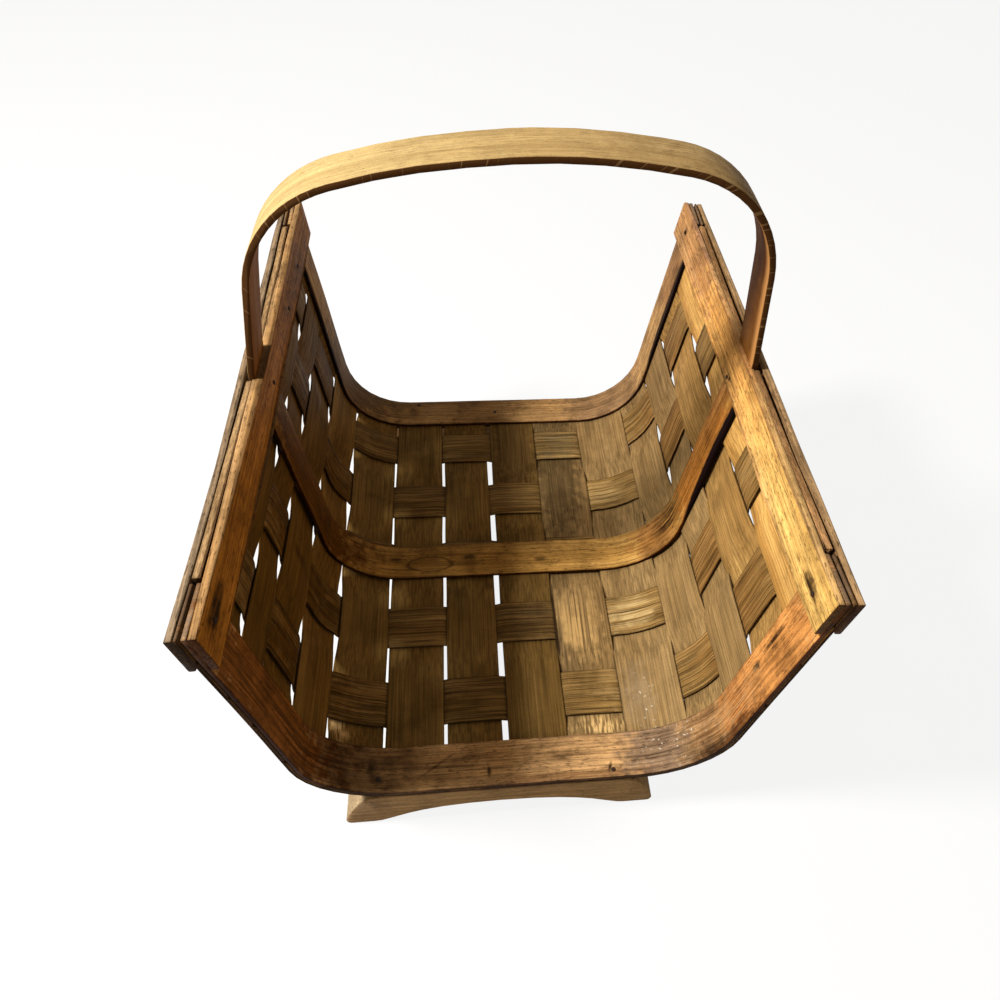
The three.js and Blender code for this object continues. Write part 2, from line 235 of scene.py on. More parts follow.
def shade(at, size, cover, core=0.3):
    """A wide soft shade or glow in which the grain still shows."""
    return mark("stain", at, size, cover, 1.0, how="MULTIPLY", core=core)


def mark_mask(tree, place, grain_place, spot):
    """Where a stain, ring, streak or speckle lies, from 0 to 1."""
    middle = [distance * MM for distance in spot["at"]]
    spread = [1 / (size * MM) for size in spot["size"]]
    local = combine_vectors(tree, "SUBTRACT", place, middle)[0]
    if "turn" in spot:
        sockets = {0: local, 3: math.radians(spot["turn"])}
        turned = add_node(tree, "ShaderNodeVectorRotate", sockets, rotation_type="Z_AXIS")
        local = turned.outputs[0]
    local = combine_vectors(tree, "MULTIPLY", local, spread)[0]
    ragged = add_node(
        tree,
        "ShaderNodeTexNoise",
        {"Vector": place, "Scale": spot.get("ragged", 160.0), "Detail": 4.0},
    ).outputs[1]
    shift = combine_vectors(tree, "SUBTRACT", ragged, (0.5, 0.5, 0.5))[0]
    wander = spot.get("wander", 0.35 if spot["kind"] == "ring" else 1.3)
    shift = combine_vectors(tree, "SCALE", shift, scale=wander)[0]
    local = combine_vectors(tree, "ADD", local, shift)[0]
    reach = combine_vectors(tree, "LENGTH", local)[1]
    if spot["kind"] == "ring":
        off_line = combine(tree, "ABSOLUTE", combine(tree, "SUBTRACT", reach, 0.85), 0.0)
        return remap(tree, off_line, 0.12, 0.03, 0.0, 1.0)
    mask = remap(tree, reach, 1.0, spot.get("core", 0.3), 0.0, 1.0)
    if spot["kind"] == "streaks":
        lines = noise(tree, grain_place, spot.get("scale", 520.0), 1.5, 0.6)
        mask = combine(tree, "MULTIPLY", mask, remap(tree, lines, 0.44, 0.56, 0.0, 1.0))
    if spot["kind"] == "specks":
        dots = noise(tree, place, spot.get("scale", 700.0), 1.0, 0.5)
        mask = combine(tree, "MULTIPLY", mask, remap(tree, dots, 0.66, 0.72, 0.0, 1.0))
    return mask


def facing_mask(tree, normal, direction):
    """1 on faces that look in a direction, 0 on the others."""
    towards = combine_vectors(tree, "DOT_PRODUCT", normal, direction)[1]
    return remap(tree, towards, 0.55, 0.8, 0.0, 1.0)


GRIT_SCALE = 1600.0
# Reach and depth of the crevice darkening: painted shade between parts, together with dirt.
CREVICE_REACH = 5 * MM
CREVICE_LEVEL = 0.4
GRAIN_DEPTH = 0.4 * MM
OAK_SHINE = 0.05


def oak(
    name,
    run,
    seed,
    tones,
    lines=0.3,
    line_scale=900.0,
    threads=0.3,
    pores=0.0,
    pore_run=0.2,
    pore_scale=1100.0,
    figure_scale=60.0,
    sway=0.3,
    blotch=0.2,
    blotch_scale=30.0,
    edges=None,
    rough=0.62,
    relief=0.4,
    facing=(),
    marks=(),
    dress=None,
):
    """Old oiled oak: tone bands, fine lines and pores along the grain, edges and crevices darkened
    by dirt and painted shade, and marks.
    """
    material = bpy.data.materials.new(name)
    material.use_nodes = True
    tree = material.node_tree
    shader = tree.nodes["Principled BSDF"]
    place = add_node(tree, "ShaderNodeTexCoord").outputs["Object"]
    offset = (seed * 0.371, seed * 0.713, seed * 0.529)
    grain_place = add_node(
        tree, "ShaderNodeMapping", {"Vector": place, "Location": offset, "Scale": run}
    ).outputs[0]
    pore_stretch = [1.0 if share == 1.0 else pore_run for share in run]
    pore_place = add_node(
        tree, "ShaderNodeMapping", {"Vector": place, "Location": offset, "Scale": pore_stretch}
    ).outputs[0]

    figure = noise(tree, grain_place, figure_scale, 3.0, 0.55, sway)
    colour = tone_ramp(tree, figure, list(zip((0.3, 0.5, 0.7), tones)))

    fine = noise(tree, grain_place, line_scale, 1.0, 0.6)
    fine_shade = remap(tree, fine, 0.36, 0.64, 1.0 - lines, 1.0 + 0.7 * lines)
    colour = tint(tree, "MULTIPLY", 1.0, colour, fine_shade)
    thread = noise(tree, grain_place, 0.45 * line_scale, 2.0, 0.6, 0.1)
    thread = remap(tree, thread, 0.40, 0.32, 0.0, threads)
    colour = tint(tree, "MIX", thread, colour, shade_of(tones[0], 0.45))
    pore = remap(tree, noise(tree, pore_place, pore_scale, 1.0, 0.5), 0.60, 0.68, 0.0, pores)
    colour = tint(tree, "MIX", pore, colour, shade_of(tones[0], 0.3))
    grit = noise(tree, place, GRIT_SCALE, 1.0, 0.5)
    colour = tint(tree, "MULTIPLY", 1.0, colour, remap(tree, grit, 0.3, 0.7, 0.86, 1.12))
    cloud = noise(tree, place, blotch_scale, 5.0, 0.62)
    cloud = remap(tree, cloud, 0.34, 0.66, 1.0 - blotch, 1.0 + 0.6 * blotch)
    colour = tint(tree, "MULTIPLY", 1.0, colour, cloud)
    normal = add_node(tree, "ShaderNodeNewGeometry").outputs["Normal"]
    for direction, cover in facing:
        colour = tint(tree, "MULTIPLY", facing_mask(tree, normal, direction), colour, cover)
    for spot in marks:
        mask = combine(
            tree, "MULTIPLY", mark_mask(tree, place, grain_place, spot), spot["strength"]
        )
        colour = tint(tree, spot.get("how", "MIX"), mask, colour, spot["colour"])
    if dress:
        colour = dress(tree, place, normal, colour)
    # Edges darkened by dirt and by painted shadow along the gaps between neighbouring parts.
    if edges:
        edge_width, edge_cover = edges
        depth = add_node(
            tree,
            "ShaderNodeAmbientOcclusion",
            {1: edge_width},
            samples=6,
            inside=True,
            only_local=True,
        ).outputs[1]
        edge_dirt_and_shade = combine(tree, "ADD", depth, remap(tree, cloud, 0.8, 1.1, -0.12, 0.12))
        edge_dirt_and_shade = remap(tree, edge_dirt_and_shade, 0.66, 0.94, 1.0, 0.0)
        colour = tint(tree, "MULTIPLY", edge_dirt_and_shade, colour, edge_cover)
    # Painted shade in creases and between parts, where nearby surfaces close in, together with
    # dirt.
    nearness = add_node(tree, "ShaderNodeAmbientOcclusion", {1: CREVICE_REACH}, samples=6).outputs[1]
    crevice_dirt_and_shade = remap(tree, nearness, 0.15, 0.8, CREVICE_LEVEL, 1.0)
    colour = tint(tree, "MULTIPLY", 1.0, colour, crevice_dirt_and_shade)
    tree.links.new(colour, shader.inputs["Base Color"])

    tree.links.new(
        remap(tree, fine, 0.3, 0.7, rough + 0.12, rough - 0.08), shader.inputs["Roughness"]
    )
    shader.inputs["Specular IOR Level"].default_value = OAK_SHINE
    height = combine(tree, "SUBTRACT", combine(tree, "MULTIPLY", fine, 0.8), pore)
    height = combine(tree, "SUBTRACT", height, thread)
    bump = add_node(
        tree, "ShaderNodeBump", {"Strength": relief, "Distance": GRAIN_DEPTH, "Height": height}
    )
    tree.links.new(bump.outputs[0], shader.inputs["Normal"])
    return material


LEFT_WALL = (-108 * MM, -122 * MM)


def unshaded_outside(cover):
    """A dress for the outside of the left wall, which lifts it paler and greyer to undo there the
    painted shade of the inside tones.
    """

    def dress(tree, place, normal, colour):
        across = add_node(tree, "ShaderNodeSeparateXYZ", {0: place}).outputs[0]
        left_wall = remap(tree, across, *LEFT_WALL, 0.0, 1.0)
        outside = combine(tree, "MULTIPLY", left_wall, facing_mask(tree, normal, (-1, 0, 0)))
        return tint(tree, "MULTIPLY", outside, colour, cover)

    return dress


ALONG_BASKET = (1.0, 0.02, 1.0)
# A near-black brown for real bruises, scuffs and dirt, and also for painted shadow lines along
# gaps and steps.
SOOT_AND_SHADOW = rgb(0.022, 0.010, 0.004)
# Painted shadow along the front part of the hoop bands on the walls.
SHADOW_BLACK = rgb(0.006, 0.002, 0.002)
CHALK = rgb(0.72, 0.66, 0.55)
HALF_LENGTH = 171.5 * MM
SLICE = 14 * MM
lengthwise_slices = [(Y_AXIS, -HALF_LENGTH, HALF_LENGTH, SLICE)]
splint_edge = 0.22 * MM
# Splint edges darkened by dirt and by painted shadow along the gaps between splints.
splint_dark_edges = (0.85 * MM, rgb(0.22, 0.17, 0.13))
# How far a splint crowds its two neighbours, and from where to where along the basket.
splint_crowding = {
    8: (0.3 * MM, 0.3 * MM, -0.2, 0.2),
    9: (0.5 * MM, 0.5 * MM, -0.2, 0.2),
    10: (0.5 * MM, 1.0 * MM, -0.2, 0.2),
    11: (0.5 * MM, 1.5 * MM, -0.125, 0.005),
    12: (1.5 * MM, 1.2 * MM, -0.115, 0.005),
    13: (2.0 * MM, 0.0, -0.115, 0.06),
    14: (2.2 * MM, 0.0, -0.065, 0.02),
}
# The tones run from the darkest on the shaded left wall to the palest at the top of the lit right
# wall: painted shade and painted light laid over the wood's own tone.
left_wall_tones = (rgb(0.100, 0.046, 0.006), rgb(0.145, 0.070, 0.010), rgb(0.190, 0.098, 0.017))
left_bend_tones = (rgb(0.190, 0.100, 0.022), rgb(0.260, 0.142, 0.034), rgb(0.330, 0.188, 0.050))
floor_tones = (rgb(0.178, 0.102, 0.028), rgb(0.238, 0.140, 0.039), rgb(0.300, 0.180, 0.054))
right_tones = (rgb(0.210, 0.128, 0.050), rgb(0.265, 0.164, 0.064), rgb(0.322, 0.204, 0.084))
upper_right_tones = (rgb(0.265, 0.143, 0.042), rgb(0.345, 0.192, 0.058), rgb(0.425, 0.246, 0.080))
top_right_tones = (rgb(0.420, 0.215, 0.055), rgb(0.540, 0.290, 0.080), rgb(0.640, 0.365, 0.110))
left_wall_splints = 3
splint_tones = [
    *[left_wall_tones] * left_wall_splints,
    left_bend_tones,
    *[floor_tones] * 4,
    *[right_tones] * 4,
    upper_right_tones,
    top_right_tones,
]
# Covers that undo, on the outside faces, the painted shade that the inside tones carry.
wall_outside_cover = rgb(1.2, 1.5, 3.6)
bend_outside_cover = rgb(0.85, 0.95, 1.6)
# Painted shade towards the rear of the right wall.
wall_shade = shade((120, 125, 110), (70, 90, 110), rgb(0.78, 0.74, 0.72))
splint_marks = {
    5: [mark("streaks", (-110, -134, 56), (9, 11, 9), rgb(0.80, 0.55, 0.27), 0.95)],
    # Painted shade on splints 8 and 9 at the soft edge of the left wall's shadow; splint 9 is also
    # darker towards the rear.
    8: [shade((13, 110, 45), (26, 75, 12), rgb(0.58, 0.55, 0.58), core=0.5)],
    9: [
        shade((36, -70, 45), (24, 60, 12), rgb(0.78, 0.78, 0.82)),
        shade((45, 100, 45), (26, 95, 12), rgb(0.50, 0.50, 0.50), core=0.6),
        # Painted shadow of the step from splint 8 down onto splint 9.
        mark("stain", (31, -78, 43), (2.4, 74, 5), SOOT_AND_SHADOW, 0.85, core=0.55, wander=0.25),
        mark("streaks", (54, -136, 43), (24, 11, 8), rgb(0.78, 0.52, 0.22), 0.95),
        mark("streaks", (45, -62, 46), (26, 42, 10), rgb(0.62, 0.39, 0.15), 0.85),
    ],
    10: [
        mark("specks", (84, -124, 47), (11, 26, 10), CHALK, 0.9, scale=420.0),
        mark("stain", (80, -118, 47), (14, 30, 10), rgb(0.36, 0.26, 0.15), 0.45),
    ],
    13: [mark("streaks", (129, -92, 150), (6, 16, 14), rgb(0.70, 0.45, 0.15), 0.8)],
}
for number, tones in enumerate(splint_tones, 1):
    label = f"{number:02d}"
    piece = shaved_copy(
        f"length_splint_{label}",
        f"rived_splint_{label}",
        splint_edge,
        lengthwise_slices,
        splint_crowding.get(number),
    )
    cover = wall_outside_cover if number <= left_wall_splints else bend_outside_cover
    wood = oak(
        f"rived_splint_wood_{label}",
        ALONG_BASKET,
        seed=number * 3.7,
        tones=tones,
        edges=splint_dark_edges,
        marks=[wall_shade, *splint_marks.get(number, ())],
        dress=unshaded_outside(cover),
    )
    piece.data.materials.append(wood)


# Cross splints: five thin oak strips woven across the lengthwise ones and bent up both walls.
# They are split, not sawn, so their faces are ridged along the grain.

ROUND_BASKET = (0.025, 1.0, 0.025)
band_slices = [(X_AXIS, -80 * MM, 80 * MM, SLICE), (Z_AXIS, 90 * MM, 220 * MM, SLICE)]
cross_tones = (rgb(0.170, 0.094, 0.026), rgb(0.250, 0.147, 0.047), rgb(0.340, 0.212, 0.078))
cross_outside_cover = rgb(1.05, 1.15, 1.45)
# Painted shade on the walls, deepest on the left wall, which lies in shade.
cross_shades = [
    shade((-128, 0, 130), (60, 400, 110), rgb(0.45, 0.34, 0.13)),
    shade((125, 0, 130), (40, 400, 90), rgb(0.98, 0.86, 0.80)),
    wall_shade,
]
# Splint 2 carries painted shade at the edge of the left wall's shadow; splint 5 is darker towards
# the rear.
cross_patches = {
    1: [mark("streaks", (76, -112, 46), (26, 20, 10), rgb(0.46, 0.31, 0.13), 0.7)],
    2: [
        shade((14, -55, 45), (28, 26, 12), rgb(0.64, 0.64, 0.72)),
        mark("streaks", (84, -54, 48), (28, 20, 10), rgb(0.56, 0.40, 0.18), 0.95),
    ],
    4: [mark("streaks", (76, 60, 46), (26, 20, 10), rgb(0.46, 0.31, 0.13), 0.8)],
    5: [shade((50, 116, 45), (30, 26, 12), rgb(0.66, 0.74, 0.92))],
}
for number in range(1, 6):
    piece = shaved_copy(
        f"cross_splint_{number}", f"split_splint_{number}", splint_edge, band_slices
    )
    wood = oak(
        f"split_splint_wood_{number}",
        ROUND_BASKET,
        seed=60 + number * 5.3,
        tones=cross_tones,
        lines=0.5,
        line_scale=980.0,
        threads=0.75,
        figure_scale=140.0,
        sway=0.1,
        edges=splint_dark_edges,
        relief=0.8,
        marks=[*cross_shades, *cross_patches.get(number, ())],
        dress=unshaded_outside(cross_outside_cover),
    )
    piece.data.materials.append(wood)


# Hoops: bent oak bands, steamed round a form. The inner ones show on the inside at both ends
# and in the middle, and thinner outer ones clamp the splint ends against them with nails.

hoop_edge = 0.5 * MM
front_hoop_tones = (rgb(0.440, 0.244, 0.100), rgb(0.610, 0.355, 0.152), rgb(0.740, 0.450, 0.210))
middle_hoop_tones = (rgb(0.315, 0.162, 0.036), rgb(0.450, 0.242, 0.060), rgb(0.555, 0.316, 0.090))
rear_hoop_tones = (rgb(0.310, 0.166, 0.060), rgb(0.430, 0.240, 0.091), rgb(0.540, 0.316, 0.130))
outer_hoop_tones = (rgb(0.200, 0.104, 0.036), rgb(0.290, 0.160, 0.060), rgb(0.370, 0.214, 0.086))
# Both cut sides of each band are darkened: dirt, and painted shade on sides that face away from
# the lamp.
hoop_side = rgb(0.20, 0.13, 0.09)
hoop_facing = [((0, -1, 0), hoop_side), ((0, 1, 0), hoop_side)]
hoop_tops = [
    mark("stain", (-143, 0, 236), (12, 400, 9), rgb(0.200, 0.135, 0.085), 0.9, core=0.6),
    mark("stain", (143, 0, 236), (12, 400, 9), rgb(0.230, 0.150, 0.090), 0.9, core=0.6),
]
# The shades here are painted shade and painted light, fitted along the band: darkest on the shaded
# left wall and bend, toned on the right bend and wall, and darker along the front side. The
# stains, streaks and specks are dirt, scuffs and scratches.
front_hoop_marks = [
    shade((-130, -158, 140), (56, 40, 112), rgb(0.42, 0.26, 0.115), core=0.6),
    shade((-113, -158, 68), (16, 40, 18), rgb(0.62, 0.58, 0.55)),
    shade((-96, -158, 50), (46, 40, 24), rgb(0.46, 0.45, 0.45), core=0.4),
    shade((86, -158, 50), (34, 40, 18), rgb(0.46, 0.50, 0.68), core=0.4),
    shade((113, -158, 68), (17, 40, 22), rgb(0.42, 0.38, 0.36)),
    shade((121, -158, 95), (18, 40, 44), rgb(0.62, 0.54, 0.45), core=0.4),
    shade((130, -158, 150), (24, 40, 90), rgb(1.02, 0.76, 0.50), core=0.6),
    shade((40, -169, 47), (90, 4, 8), rgb(0.55, 0.50, 0.48)),
    shade((118, -169, 90), (30, 6, 60), rgb(0.30, 0.26, 0.24), core=0.5),
    mark("stain", (24.5, -157.4, 47), (9, 3.2, 4), SOOT_AND_SHADOW, 0.8, core=0.0, ragged=220.0),
    mark("streaks", (28, -157, 47), (24, 6, 6), SOOT_AND_SHADOW, 0.6),
    mark("streaks", (80, -160, 48), (24, 9, 12), SOOT_AND_SHADOW, 0.8),
    mark("streaks", (130, -150, 168), (10, 7, 18), SOOT_AND_SHADOW, 0.95, scale=380.0),
    mark("streaks", (131, -163, 172), (9, 6, 22), SOOT_AND_SHADOW, 0.6, scale=380.0),
    mark("stain", (127, -152, 142), (5, 3, 6), SOOT_AND_SHADOW, 0.95, ragged=300.0),
    mark("streaks", (116, -157, 100), (34, 15, 60), rgb(0.86, 0.56, 0.28), 0.3, scale=1300.0),
    mark("stain", (55, -165, 47), (1.6, 5, 3), SOOT_AND_SHADOW, 0.95, turn=20.0, ragged=60.0),
    mark("stain", (-20, -163, 47), (1.8, 5, 3), SOOT_AND_SHADOW, 0.85, ragged=60.0),
    mark("streaks", (-40, -158, 47), (40, 12, 8), SOOT_AND_SHADOW, 0.55),
    mark("stain", (-90, -157, 49.5), (3.5, 9, 4), SOOT_AND_SHADOW, 0.85),
    mark("stain", (-86, -163.5, 48.5), (5, 4, 4), SOOT_AND_SHADOW, 0.8),
    mark("streaks", (-108, -157, 64), (24, 14, 24), SOOT_AND_SHADOW, 0.8),
    mark("streaks", (-122, -155, 120), (20, 12, 60), SOOT_AND_SHADOW, 0.75, scale=420.0),
    mark("streaks", (-114, -167, 85), (24, 6, 50), SOOT_AND_SHADOW, 0.8, scale=420.0),
    mark("streaks", (-130, -160, 170), (14, 14, 40), SOOT_AND_SHADOW, 0.55, scale=700.0),
    mark("stain", (-52, -157, 47), (17, 1.0, 4), SOOT_AND_SHADOW, 0.5, turn=-33.0, ragged=240.0),
    mark("specks", (95, -156, 56), (42, 15, 26), CHALK, 0.75, scale=520.0),
]
# Painted shade: the band darkened on the shaded left wall and toned on the right bend and wall.
# The ring and stains are dirt.
middle_hoop_marks = [
    shade((-130, 0, 130), (60, 60, 110), rgb(0.31, 0.22, 0.10), core=0.6),
    shade((112, 0, 66), (30, 60, 30), rgb(0.72, 0.60, 0.60), core=0.4),
    shade((130, 0, 150), (24, 60, 80), rgb(0.78, 0.56, 0.40), core=0.6),
    mark("ring", (-56, -4.5, 47), (19, 7.5, 5), SOOT_AND_SHADOW, 0.6),
    mark("stain", (-81, 0.5, 47.5), (6, 3.2, 3), SOOT_AND_SHADOW, 0.8),
    mark("stain", (-27, 0.6, 47), (6, 3.2, 3), SOOT_AND_SHADOW, 0.8),
    mark("stain", (25, -4, 47), (6, 3.0, 3), SOOT_AND_SHADOW, 0.7),
    mark("streaks", (117, 2, 80), (16, 16, 30), SOOT_AND_SHADOW, 0.95, scale=420.0),
    # Painted shadow along the front part of the band on the right wall.
    mark("stain", (129, -16, 168), (20, 6.6, 78), SHADOW_BLACK, 1.0, core=0.8, wander=0.2),
]
# Painted shade: the band darkened on the shaded left side and toned on the right; the black stains
# are painted shadow along the front part of the band on both walls.
rear_hoop_marks = [
    shade((-112, 157, 90), (60, 60, 70), rgb(0.38, 0.37, 0.38), core=0.5),
    shade((92, 157, 60), (46, 60, 50), rgb(0.56, 0.56, 0.66), core=0.5),
    shade((134, 157, 200), (16, 60, 70), rgb(0.62, 0.55, 0.55), core=0.5),
    mark("stain", (129, 142, 160), (20, 6.8, 70), SHADOW_BLACK, 0.95, core=0.75, wander=0.2),
    mark("stain", (-129, 142, 150), (20, 5, 80), SHADOW_BLACK, 0.8, core=0.75, wander=0.2),
]
hoops = {
    "front_inner_hoop": ("front_band_inside", front_hoop_tones, front_hoop_marks),
    "front_outer_hoop": ("front_band_outside", outer_hoop_tones, []),
    "middle_hoop": ("middle_band", middle_hoop_tones, middle_hoop_marks),
    "rear_inner_hoop": ("rear_band_inside", rear_hoop_tones, rear_hoop_marks),
    "rear_outer_hoop": ("rear_band_outside", outer_hoop_tones, []),
}
for number, (node, (name, tones, marks)) in enumerate(hoops.items()):
    piece = shaved_copy(node, name, hoop_edge, band_slices)
    wood = oak(
        f"{name}_wood",
        ROUND_BASKET,
        seed=100 + number * 7.9,
        tones=tones,
        lines=0.32,
        threads=0.42,
        pores=0.6,
        blotch=0.3,
        blotch_scale=45.0,
        edges=(1.4 * MM, rgb(0.40, 0.33, 0.28)),
        rough=0.6,
        facing=hoop_facing,
        marks=[*marks, *hoop_tops],
    )
    piece.data.materials.append(wood)


# Rails: straight sawn oak strips nailed along both sides of the rim, a thicker one inside and a
# thinner one outside, with the splint ends and hoop ends clamped between them.

rail_edge = 0.25 * MM
rail_ends = rgb(0.20, 0.15, 0.13)
rails = {
    "left_inner_rail": (
        "left_rail_inside",
        (rgb(0.315, 0.116, 0.013), rgb(0.472, 0.188, 0.027), rgb(0.590, 0.264, 0.048)),
        rgb(0.72, 1.0, 2.7),
        [
            mark("streaks", (-134.3, -150, 222), (9, 18, 9), SOOT_AND_SHADOW, 0.95, scale=300.0),
            mark("stain", (-134.3, -154, 221), (6, 8, 4), SOOT_AND_SHADOW, 0.7),
            shade((-132, 110, 215), (9, 90, 22), rgb(0.42, 0.40, 0.40)),
        ],
    ),
    "right_inner_rail": (
        "right_rail_inside",
        (rgb(0.530, 0.288, 0.076), rgb(0.675, 0.402, 0.118), rgb(0.770, 0.505, 0.172)),
        rgb(0.96, 0.97, 1.28),
        [
            shade((133, 20, 220), (20, 110, 40), rgb(0.90, 0.74, 0.66)),
            shade((133, 150, 220), (20, 110, 40), rgb(0.66, 0.56, 0.70), core=0.5),
            mark("streaks", (133, -152, 217), (8, 16, 9), SOOT_AND_SHADOW, 0.95, scale=300.0),
            mark("stain", (133, -150, 219), (5, 8, 5), SOOT_AND_SHADOW, 0.8, ragged=260.0),
            mark("streaks", (131.3, 6, 213), (7, 18, 11), SOOT_AND_SHADOW, 0.8),
            mark("stain", (134.6, 149, 223), (5, 5, 4), SOOT_AND_SHADOW, 0.6),
        ],
    ),
    "left_outer_rail": (
        "left_rail_outside",
        (rgb(0.160, 0.102, 0.056), rgb(0.250, 0.173, 0.104), rgb(0.340, 0.248, 0.160)),
        rgb(1.0, 1.0, 1.0),
        [],
    ),
    "right_outer_rail": (
        "right_rail_outside",
        (rgb(0.230, 0.122, 0.044), rgb(0.345, 0.188, 0.072), rgb(0.445, 0.250, 0.102)),
        rgb(1.17, 1.32, 1.65),
        [],
    ),
}
for number, (node, (name, tones, top, marks)) in enumerate(rails.items()):
    piece = shaved_copy(node, name, rail_edge, lengthwise_slices)
    wood = oak(
        f"{name}_wood",
        ALONG_BASKET,
        seed=150 + number * 6.1,
        tones=tones,
        threads=0.4,
        pores=0.65,
        pore_scale=1000.0,
        blotch=0.26,
        blotch_scale=70.0,
        edges=(1.1 * MM, rgb(0.62, 0.58, 0.55)),
        rough=0.55,
        relief=0.6,
        facing=[((0, -1, 0), rail_ends), ((0, 1, 0), rail_ends), ((0, 0, 1), top)],
        marks=marks,
    )
    piece.data.materials.append(wood)


# Fillers: bare oak strips laid in the slot between the rails, in front of the handle and behind
# it. They are duller than the oiled rails, and they have shrunk away from the inner ones.

left_filler_tones = (rgb(0.180, 0.106, 0.046), rgb(0.262, 0.159, 0.072), rgb(0.335, 0.211, 0.102))
right_filler_tones = (rgb(0.240, 0.121, 0.047), rgb(0.352, 0.184, 0.075), rgb(0.449, 0.243, 0.105))
filler_ends = rgb(0.4, 0.36, 0.32)
left_shrinkage = 1.4 * MM
right_shrinkage = 0.9 * MM
least_inwards = 0.2
SHORT_GRAIN = (1.0, 0.15, 1.0)
fillers = ("left_front_filler", "left_rear_filler", "right_front_filler", "right_rear_filler")
for number, node in enumerate(fillers):
    name = node.replace("filler", "slot_strip")
    piece = shaved_copy(node, name, rail_edge, lengthwise_slices)
    on_left = node.startswith("left")
    inwards = 1 if on_left else -1
    shrinkage = left_shrinkage if on_left else right_shrinkage
    for vert in piece.data.vertices:
        if vert.normal.x * inwards > least_inwards:
            vert.co.x -= shrinkage * inwards
    wood = oak(
        f"{name}_wood",
        SHORT_GRAIN,
        seed=190 + number * 4.3,
        tones=left_filler_tones if on_left else right_filler_tones,
        lines=0.3,
        line_scale=1300.0,
        threads=0.3,
        pores=0.3,
        pore_run=0.6,
        edges=(0.8 * MM, rgb(0.34, 0.27, 0.22)),
        rough=0.8,
        relief=0.8,
        facing=[((0, -1, 0), filler_ends), ((0, 1, 0), filler_ends)],
    )
    piece.data.materials.append(wood)


# Carrying handle: a steamed oak band, bent to a bow and let into the slot between the rails on
# both sides. Its inside is darkened with painted shade, with a painted lit strip at the front of
# the right leg, and its cut edges are dark with pale flecks.

handle_edge = 0.5 * MM
bow_middle = (0, 0, 0.2)
bow_base = 0.22
handle_tones = (rgb(0.412, 0.286, 0.118), rgb(0.488, 0.348, 0.150), rgb(0.552, 0.408, 0.190))
# Painted shade on the right side and the middle of the crown, which face the lamp less squarely.
handle_marks = [
    shade((140, 0, 320), (110, 60, 80), rgb(0.58, 0.48, 0.42)),
    shade((30, 0, 350), (90, 60, 40), rgb(0.84, 0.78, 0.74)),
]


def handle_painted_shade_edges_and_flecks(tree, place, normal, colour):
    """Painted shade inside the bow, a painted lit strip on its right leg, dark cut edges and pale
    flecks.
    """
    outwards = combine_vectors(tree, "SUBTRACT", place, bow_middle)[0]
    lean = combine_vectors(tree, "DOT_PRODUCT", normal, outwards)[1]
    inside = remap(tree, lean, -0.03, -0.06, 0.0, 1.0)
    across, along, height = add_node(tree, "ShaderNodeSeparateXYZ", {0: place}).outputs
    # Painted shade on the inside of the bow.
    colour = tint(tree, "MULTIPLY", inside, colour, rgb(0.56, 0.30, 0.12))
    # A painted lit strip at the front of the right leg's inside, where the crown's shadow misses
    # it.
    right = remap(tree, across, 40 * MM, 110 * MM, 0.0, 0.8)
    front = remap(tree, along, -4 * MM, -9 * MM, 0.0, 1.0)
    lit = combine(tree, "MULTIPLY", combine(tree, "MULTIPLY", inside, right), front)
    colour = tint(tree, "MIX", lit, colour, rgb(0.60, 0.29, 0.095))
    edge = combine(
        tree,
        "MAXIMUM",
        facing_mask(tree, normal, (0, -1, 0)),
        facing_mask(tree, normal, (0, 1, 0)),
    )
    colour = tint(tree, "MIX", edge, colour, rgb(0.085, 0.035, 0.010))
    turn = combine(tree, "ARCTAN2", combine(tree, "SUBTRACT", height, bow_base), across)
    reach = combine_vectors(tree, "LENGTH", outwards)[1]
    turn = combine(tree, "MULTIPLY", turn, 0.14)
    slant = combine(tree, "ADD", turn, combine(tree, "MULTIPLY", reach, 0.4))
    ticks = add_node(
        tree,
        "ShaderNodeTexNoise",
        {"W": slant, "Scale": 420.0, "Detail": 2.0},
        noise_dimensions="1D",
    ).outputs[0]
    ticks = combine(tree, "ADD", ticks, remap(tree, across, 30 * MM, 110 * MM, 0.0, 0.07))
    flecks = combine(tree, "MULTIPLY", remap(tree, ticks, 0.68, 0.75, 0.0, 0.55), edge)
    return tint(tree, "MIX", flecks, colour, rgb(0.42, 0.26, 0.12))


handle = shaved_copy("carrying_handle", "bent_handle", handle_edge, band_slices)
wood = oak(
    "bent_handle_wood",
    ROUND_BASKET,
    seed=221.0,
    tones=handle_tones,
    lines=0.14,
    threads=0.2,
    pores=0.3,
    blotch=0.12,
    edges=(1.0 * MM, rgb(0.7, 0.6, 0.5)),
    marks=handle_marks,
    dress=handle_painted_shade_edges_and_flecks,
)
handle.data.materials.append(wood)


# Feet: two bars sawn from oak board, with sloping shoulders and an arch cut out below. Each is
# nailed under the hoops at one end of the basket.

ALONG_FOOT = (0.03, 1.0, 1.0)
foot_edge = 0.2 * MM
foot_slices = [(X_AXIS, -110 * MM, 90 * MM, SLICE)]
left_shoulder = (-0.95, 0, 0.31)
foot_tones = (rgb(0.315, 0.190, 0.084), rgb(0.400, 0.250, 0.116), rgb(0.475, 0.310, 0.156))
